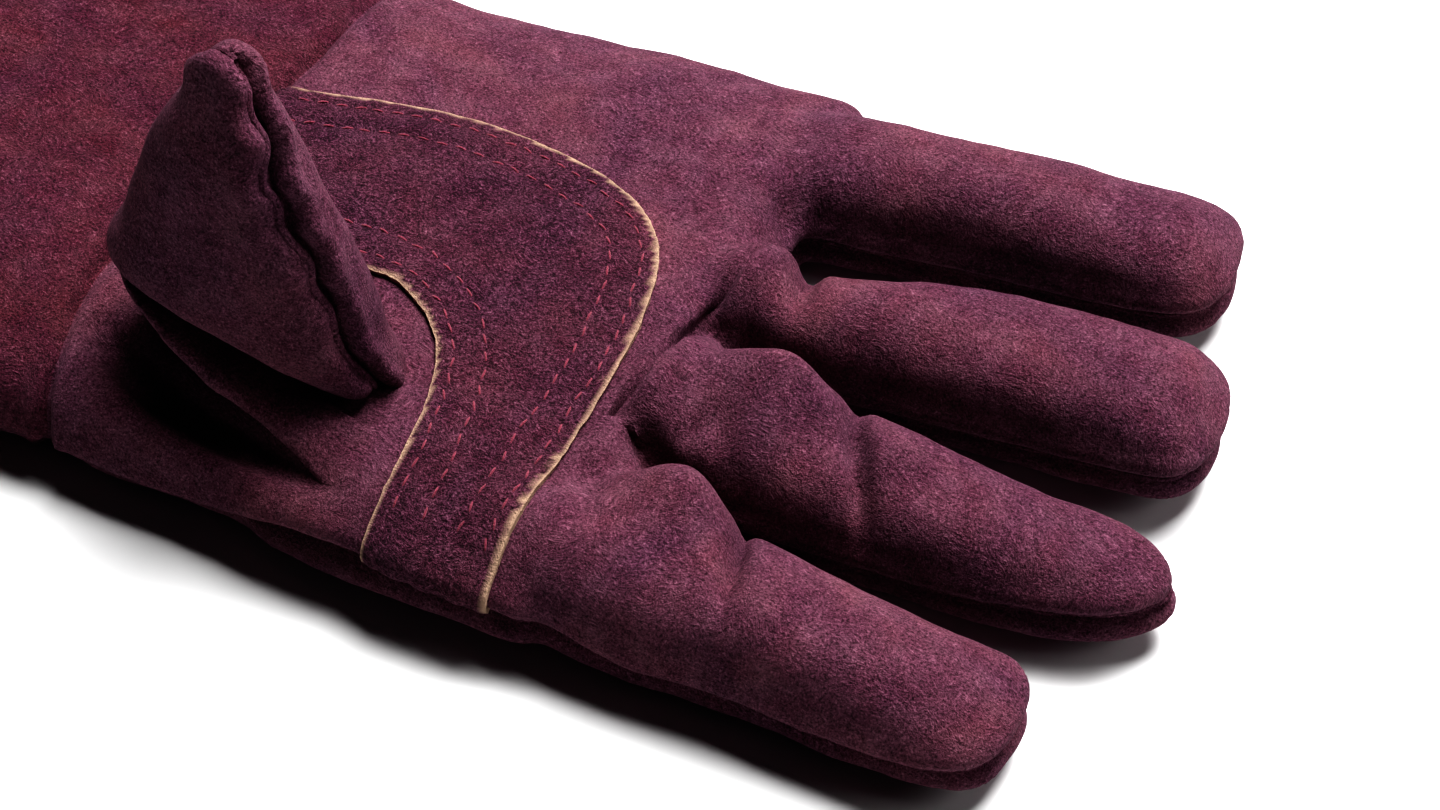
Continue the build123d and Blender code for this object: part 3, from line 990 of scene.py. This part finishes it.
def thumb_points(inset=0.0, rows=110, around=128, foot=14.0):
    """Rings of points round the thumb, from its foot to its tip."""
    top = THUMB_TOP + 0.5 - 1.3 * inset
    shoulder = top - THUMB_DOME
    dome = shoulder + THUMB_DOME * np.sin(np.linspace(0, 1, 16)[1:] * math.pi / 2 * 0.99)
    angle = np.linspace(0, 2 * math.pi, around, endpoint=False)
    c, s = np.cos(angle), np.sin(angle)
    grid = []
    for z0 in np.concatenate([np.linspace(foot, shoulder, rows), dome]):
        lean, left, right, near, far = between(THUMB_LEVELS, min(z0, 99.5))
        closing = max(0.0, (z0 - shoulder) / THUMB_DOME)
        k = (1 - closing**2.1) ** (1 / 2.1)
        half_x = max((right - left) / 2 * (0.45 + 0.55 * k) - inset, 1.0)
        half_y = max((far - near) / 2 * k - inset, 0.8)
        x = (left + right) / 2 + half_x * np.sign(c) * np.abs(c) ** (2 / 2.3)
        y = (near + far) / 2 + half_y * np.sign(s) * np.abs(s) ** (2 / 2.4)
        z = z0 + lean * (x - THUMB_FOOT[0])
        grid.append(np.column_stack([x, y, z]))
    return grid


def thumb_parting(verts):
    """Distance of each point from the seam between the thumb's two hides, and where that seam is sewn."""
    middle = np.interp(verts[:, 2], [20, 60, 100], [40, 40, 40.5])
    right = ease(-6, 10, verts[:, 0] - middle)
    pucker = 0.5 * np.sin(verts[:, 2] / 1.9) * ease(45, 60, verts[:, 2])
    lean = np.interp(verts[:, 2], [20, 40, 78, 84, 91, 97], [0, -6.5, -6.5, -4.5, -2.0, 0.0])
    behind = 3.0 * (1 - right) * ease(90, 97, verts[:, 2])
    gap = verts[:, 1] - (THUMB_FOOT[1] + (lean + pucker) * right + behind)
    return gap, np.maximum(right, ease(88, 97, verts[:, 2]))


# The fold between the thumb and the palm's heel: its hidden top, its rim, and where it tucks under.
FOLD_TOP = [(8, -46, 46), (18, -49, 44), (30, -50, 39), (42, -51, 33), (54, -53, 29), (66, -55, 27),
            (78, -58, 24)]
FOLD_RIM = [(10, -50, 47), (19, -58, 44.5), (27, -61, 39.5), (36, -62, 33), (46, -63, 28), (56, -66, 24.5),
            (68, -70, 20)]
FOLD_TUCK = [(11, -47, 40), (19, -51, 35), (27, -53, 30), (36, -56, 26), (46, -58, 23), (56, -61, 20),
             (68, -66, 16)]


def thumb_fold(count=90):
    """The soft fold of leather that lies on the palm's heel under the thumb, as a closed tube."""
    share = np.linspace(0, 1, count)
    curves = []
    for points in (FOLD_TOP, FOLD_RIM, FOLD_TUCK):
        line = smooth_line(points, 0.5)
        at = np.linspace(0, 1, len(line))
        curves.append(np.column_stack([np.interp(share, at, line[:, i]) for i in range(3)]))
    rings = []
    for top, rim, tuck in zip(*curves):
        over = (top + 2 * rim) / 3 + [0, -0.6, 1.3]
        under = (rim + tuck) / 2 + [0, -0.8, -0.8]
        front = smooth_line([top, over, rim, under, tuck], 0.7)
        front = front[np.linspace(0, len(front) - 1, 22).astype(int)]
        back = tuck + (top - tuck) * np.linspace(0.2, 0.8, 4)[:, None] + [0, 2.0, 0]
        rings.append(np.vstack([front, back]))
    return rings


class GLOVE_OT_thumb(bpy.types.Operator):
    """Shapes the standing thumb and its folds"""
    bl_idname = "glove.thumb"
    bl_label = "Thumb"

    def execute(self, context):
        sizes = context.scene.glove_sizes
        verts, tris = melt(tube("thumb", thumb_points()), 1.0, 5)
        verts = ripple(verts, tris, ((26, 1.8), (8, 0.4), (3.2, 0.12)), 8.1)
        gap, sewn = thumb_parting(verts)
        lip = 1.3 * bell(np.abs(gap) - 3.2, 1.9) - 3.2 * bell(gap, 1.2)
        wrinkle = 0.55 * np.sin(verts[:, 2] / 1.5 + 0.4 * np.sin(verts[:, 2])) * bell(np.abs(gap) - 2.0, 2.0)
        verts = verts + normals(verts, tris) * ((lip + wrinkle) * sewn)[:, None]
        gap, _ = thumb_parting(verts)
        for name, side in (("thumb_outer", -gap), ("thumb_inner", gap)):
            v, t = clip(verts, tris, side)
            piece = thicken(mesh_object(f"{name}_hide", v, t), sizes.leather, "palm_suede")
            if name == "thumb_outer":
                self.welt(v, t)
                self.add_fold(piece)
            settle(piece, name, "thumb")
        lining = tube("thumb_lining_fleece", thumb_points(inset=6.5, rows=40, around=48, foot=20.0))
        dress(lining, "lining_fleece")
        settle(lining, "thumb_lining", "thumb")
        return {"FINISHED"}

    def add_fold(self, piece):
        """Joins the soft fold over the palm's heel to the thumb's outer hide."""
        verts, tris = melt(tube("fold", thumb_fold()), 0.9, 6)
        verts = ripple(verts, tris, ((18, 1.2), (6, 0.35)), 5.2)
        fold = mesh_object("fold", verts, tris)
        only(fold)
        bpy.ops.object.shade_smooth()
        dress(fold, "palm_suede")
        only(piece)
        fold.select_set(True)
        bpy.ops.object.join()

    def welt(self, verts, tris):
        """Lays the welt strip where the two hides are sewn."""
        gap, sewn = thumb_parting(verts)
        runs = rim_runs(tris, (np.abs(gap) < 0.4) & (sewn > 0.3))
        piece = bead("thumb_welt_strip", verts, runs, (0.9, 0.9))
        settle(piece, "thumb_welt", "thumb")


# ---- linings, hem and the rest of the thread ---------------------------------------------------------
FLEECE = 1.6            # thickness of the lining
LINING_SIDE = 3.4       # how much more the lining is drawn in at the side seams
# The hem's turn: place from the cuff's mouth, and depth below the hide's surface.
HEM_PATH = [(16, 5.0), (9, 4.7), (3, 4.2), (-0.2, 3.2), (-1.1, 2.1), (-1.1, 1.5), (-0.5, 1.1)]


def cuff_ring(x, seam, inset, side):
    """A section of the cuff or hand at x, drawn in by inset, and by side more at its side seams."""
    near, far, top = between(HAND_ROWS, np.clip(x, -133, 112))
    half = (far - near) / 2 - inset - side
    a, z = section((near + far) / 2, half, top - inset, seam, inset, 3.4, 3.6, 160)
    return np.column_stack([np.full(len(a), x), a, z])


class GLOVE_OT_inside(bpy.types.Operator):
    """Puts in the fleece lining and turns the cuff's hem"""
    bl_idname = "glove.inside"
    bl_label = "Lining and hem"

    def execute(self, context):
        sizes = context.scene.glove_sizes
        seam = sizes.seam_height
        rings = []
        for x in np.linspace(3, FINGER_START - 2, 40):
            ring = cuff_ring(x, seam, 3.6 + 1.8 * ease(88, 106, x), LINING_SIDE)
            rings.append(fold_hand(ring, sizes))
        piece = thicken(tube("hand_lining_fleece", rings, ends=False), FLEECE, "lining_fleece")
        settle(piece, "hand_lining")
        wave = np.random.default_rng(3)
        rings = []
        for x in np.linspace(CUFF_END + 13, -1, 110):
            ring = cuff_ring(x, seam, 2.2 + 2.3 * ease(-20, -5, x), LINING_SIDE)
            ring[:, 1:] += wave.normal(0, 0.22, (len(ring), 2))
            rings.append(fold_hand(ring, sizes))
        piece = thicken(tube("cuff_lining_fleece", rings, ends=False), FLEECE, "lining_fleece")
        settle(piece, "cuff_lining", "cuff")
        rings = []
        for dx, inset in reversed(HEM_PATH):
            rings.append(cuff_ring(CUFF_END + dx, seam, inset, LINING_SIDE * ease(1.1, 4.7, inset)))
        piece = thicken(tube("cuff_hem_fold", rings, ends=False), 0.9, "cuff_suede")
        settle(piece, "cuff_hem", "cuff")
        for name in FINGER_NAMES:
            self.finger(name, sizes)
        return {"FINISHED"}

    def finger(self, name, sizes):
        """Puts a lining with a rounded end in a finger."""
        length, middle = finger_line(name)[3], 11
        straight = length - 16
        end = straight + 12 * np.sin(np.linspace(0, 1, 7)[1:] * math.pi / 2)
        rings = []
        for s in np.concatenate([np.linspace(-14, straight, 30), end]):
            side, half, top, low = between(FINGER_SHAPES[name], s / length)
            closing = max(0.0, (s - straight) / 12.2)
            k = math.sqrt(1 - closing * closing)
            deep = 3.8 + 1.4 * (1 - ease(0, 24, s))
            wide = max((half - deep - 1.4) * k, 0.6)
            a, z = section(side, wide, middle + (top - deep - middle) * k, middle,
                           middle - (middle - low - 3.8) * k, count=40)
            rings.append(fold_hand(finger_ring(name, s, a, z), sizes))
        piece = tube(f"{name}_lining_fleece", rings)
        only(piece)
        bpy.ops.object.shade_smooth()
        dress(piece, "lining_fleece")
        settle(piece, f"{name}_lining", name)


class GLOVE_OT_thread(bpy.types.Operator):
    """Sews the hem and the bar tack beside the thumb"""
    bl_idname = "glove.thread"
    bl_label = "Thread"

    def execute(self, context):
        sizes = context.scene.glove_sizes
        verts, tris = WORK["shell"]
        tree = BVHTree.FromPolygons(verts.tolist(), tris.tolist())
        hem = np.column_stack([np.full(150, CUFF_END + 10), np.linspace(-84, 79, 150)])
        places = row_places(hem, tree, sizes.stitch_pitch, 0.1)
        piece = stitch_mesh("hem_thread", places, sizes.stitch, sizes.thread)
        settle(piece, "hem_stitching", "cuff")
        tack = np.column_stack([np.linspace(75.0, 79.0, 6), np.linspace(-44.0, -43.0, 6)])
        turned = [(m, np.cross(n, t), n) for m, t, n in row_places(tack, tree, 1.0, 0.1)]
        settle(stitch_mesh("thumb_bar_tack", turned, 2.4, 0.6), "thumb_bartack")
        return {"FINISHED"}


# ---- stage -------------------------------------------------------------------------------------------
FLOOR_REACH = 3000              # from the middle to the floor's edge
FLOOR_TONE = 0.76
SKY_STRENGTH = 0.012
LIT_PLACE = (110, -10, 10)      # where the lights point
SEEN_PLACE = (122.7, -18.3, 20)     # where the camera points
SEEN_FROM = 0.5825              # the camera's distance, in metres


class GLOVE_OT_stage(bpy.types.Operator):
    """Lays a pale floor, and sets soft light and the camera"""
    bl_idname = "glove.stage"
    bl_label = "Stage"

    def execute(self, context):
        corners = [(x * FLOOR_REACH, y * FLOOR_REACH, -0.2) for x, y in ((-1, -1), (1, -1), (1, 1), (-1, 1))]
        floor = mesh_object("floor", corners, [(0, 1, 2, 3)])
        made, _, bsdf = shader("floor_paper", 0.9)
        bsdf.inputs["Base Color"].default_value = (FLOOR_TONE, FLOOR_TONE, FLOOR_TONE, 1)
        floor.data.materials.append(made)
        world = bpy.data.worlds.new("studio")
        world.use_nodes = True
        sky = world.node_tree.nodes["Background"]
        sky.inputs["Color"].default_value = (1, 1, 1, 1)
        sky.inputs["Strength"].default_value = SKY_STRENGTH
        context.scene.world = world
        self.light("key", (0.20, 0.78, 1.60), 1.0, 59)
        self.light("top", (-0.50, 0.90, 1.5), 0.8, 7)
        self.light("tips", (1.5, 0.55, 0.9), 0.8, 6)
        self.camera(context)
        context.scene.view_settings.view_transform = "Standard"
        context.scene.view_settings.look = "Very High Contrast"
        return {"FINISHED"}

    def light(self, name, place, size, power):
        """A square light at a place from the glove's middle, in metres, turned to it."""
        data = bpy.data.lights.new(name, "AREA")
        data.size, data.energy = size, power
        lamp = bpy.data.objects.new(name, data)
        bpy.context.scene.collection.objects.link(lamp)
        middle = Vector(metres(LIT_PLACE))
        lamp.location = middle + Vector(place)
        lamp.rotation_mode = "QUATERNION"
        lamp.rotation_quaternion = (middle - lamp.location).to_track_quat("-Z", "Y")

    def camera(self, context):
        """Looks down at the glove from the thumb's side, a little rolled."""
        azimuth, elevation, roll = (math.radians(a) for a in (26.7, 48.4, -1.7))
        back = Vector((math.sin(azimuth) * math.cos(elevation), -math.cos(azimuth) * math.cos(elevation),
                       math.sin(elevation)))
        right = Vector((math.cos(azimuth), math.sin(azimuth), 0))
        up = back.cross(right)
        side = right * math.cos(roll) + up * math.sin(roll)
        rise = up * math.cos(roll) - right * math.sin(roll)
        data = bpy.data.cameras.new("camera")
        data.lens, data.sensor_width, data.clip_start = 76.3, 36, 0.01
        camera = bpy.data.objects.new("camera", data)
        context.scene.collection.objects.link(camera)
        turn = Matrix((side, rise, back)).transposed().to_4x4()
        camera.matrix_world = Matrix.Translation(Vector(metres(SEEN_PLACE)) + back * SEEN_FROM) @ turn
        context.scene.camera = camera


class GLOVE_PT_panel(bpy.types.Panel):
    """Shows the glove's sizes and colours, and a button for each step"""
    bl_label = "Welding glove"
    bl_idname = "GLOVE_PT_panel"
    bl_space_type = "VIEW_3D"
    bl_region_type = "UI"
    bl_category = "Glove"

    def draw(self, context):
        for group in (context.scene.glove_sizes, context.scene.glove_colours):
            for key in group.__annotations__:
                self.layout.prop(group, key)
        for operator in OPERATORS:
            self.layout.operator(operator.bl_idname)


OPERATORS = (GLOVE_OT_hides, GLOVE_OT_welts, GLOVE_OT_patch, GLOVE_OT_thumb, GLOVE_OT_inside,
             GLOVE_OT_thread, GLOVE_OT_stage)
CLASSES = (GloveSizes, GloveColours, *OPERATORS, GLOVE_PT_panel)


def register():
    for made in CLASSES:
        bpy.utils.register_class(made)
    bpy.types.Scene.glove_sizes = bpy.props.PointerProperty(type=GloveSizes)
    bpy.types.Scene.glove_colours = bpy.props.PointerProperty(type=GloveColours)


def unregister():
    del bpy.types.Scene.glove_colours
    del bpy.types.Scene.glove_sizes
    for made in reversed(CLASSES):
        bpy.utils.unregister_class(made)


def main():
    register()
    make_materials(bpy.context.scene.glove_colours)
    bpy.ops.glove.hides()
    bpy.ops.glove.welts()
    bpy.ops.glove.patch()
    bpy.ops.glove.thumb()
    bpy.ops.glove.inside()
    bpy.ops.glove.thread()
    bpy.ops.glove.stage()


if __name__ == "__main__":
    main()
